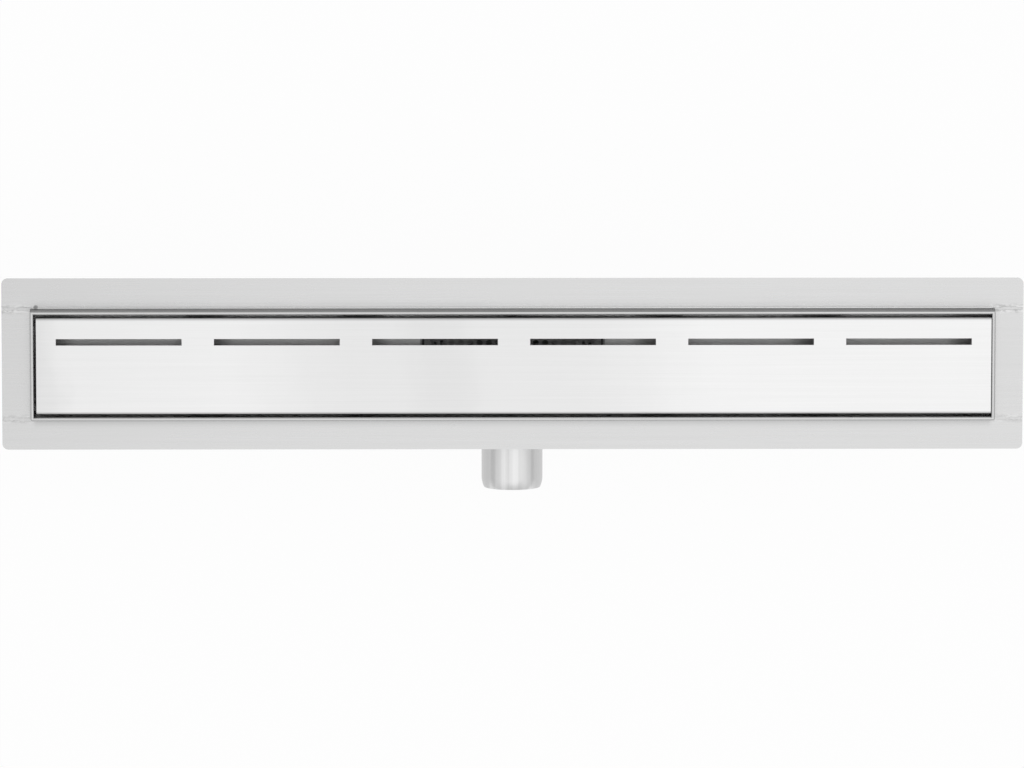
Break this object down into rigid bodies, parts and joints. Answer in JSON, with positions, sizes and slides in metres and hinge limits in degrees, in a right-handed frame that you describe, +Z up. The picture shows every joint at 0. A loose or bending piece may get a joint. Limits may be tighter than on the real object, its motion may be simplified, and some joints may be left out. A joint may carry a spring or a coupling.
{
  "type": "linear shower drain",
  "caption": "Long stainless channel drain for a shower floor, with a slotted cover, welded flange, trapped sump, strainer, side outlet pipe and levelling feet.",
  "frame": {"origin": "middle of the channel at the cover's top, which is the level of the finished floor", "axes": "+X along the channel, +Z up out of the floor, the outlet pipe leaves towards -Y"},
  "size_m": [0.83, 0.1774, 0.126],
  "materials": {
    "body_steel": "satin",
    "cover_steel": "brushed",
    "sump_steel": "pickled",
    "pipe_steel": "drawn",
    "strainer_plastic": "moulded",
    "plated_steel": "zinc plated",
    "trap_plastic": "moulded",
    "seal_rubber": "matte",
    "foot_plastic": "moulded"
  },
  "bodies": {
    "drain": {"channel_trough": "body_steel", "end_plate_left": "body_steel", "end_plate_right": "body_steel", "sump_tub": "sump_steel", "outlet_spigot": "pipe_steel", "cover_plate": "cover_steel", "strainer": "strainer_plastic", "trap_insert": "trap_plastic", "trap_seal": "seal_rubber", "foot_nuts": "plated_steel", "cover_support_1": "cover_steel", "foot_bracket_1": "plated_steel", "cover_support_2": "cover_steel", "foot_bracket_2": "plated_steel", "cover_support_3": "cover_steel", "foot_bracket_3": "plated_steel", "cover_support_4": "cover_steel", "foot_bracket_4": "plated_steel"},
    "foot_1": {"foot_stud_1": "plated_steel", "foot_pad_1": "foot_plastic"},
    "foot_2": {"foot_stud_2": "plated_steel", "foot_pad_2": "foot_plastic"},
    "foot_3": {"foot_stud_3": "plated_steel", "foot_pad_3": "foot_plastic"},
    "foot_4": {"foot_stud_4": "plated_steel", "foot_pad_4": "foot_plastic"}
  },
  "joints": [
    {"name": "foot_1_adjust", "type": "slide", "parent": "drain", "child": "foot_1", "axis": [0, 0, -1], "range_m": [-0.005, 0.02]},
    {"name": "foot_2_adjust", "type": "slide", "parent": "drain", "child": "foot_2", "axis": [0, 0, -1], "range_m": [-0.005, 0.02]},
    {"name": "foot_3_adjust", "type": "slide", "parent": "drain", "child": "foot_3", "axis": [0, 0, -1], "range_m": [-0.005, 0.02]},
    {"name": "foot_4_adjust", "type": "slide", "parent": "drain", "child": "foot_4", "axis": [0, 0, -1], "range_m": [-0.005, 0.02]}
  ]
}
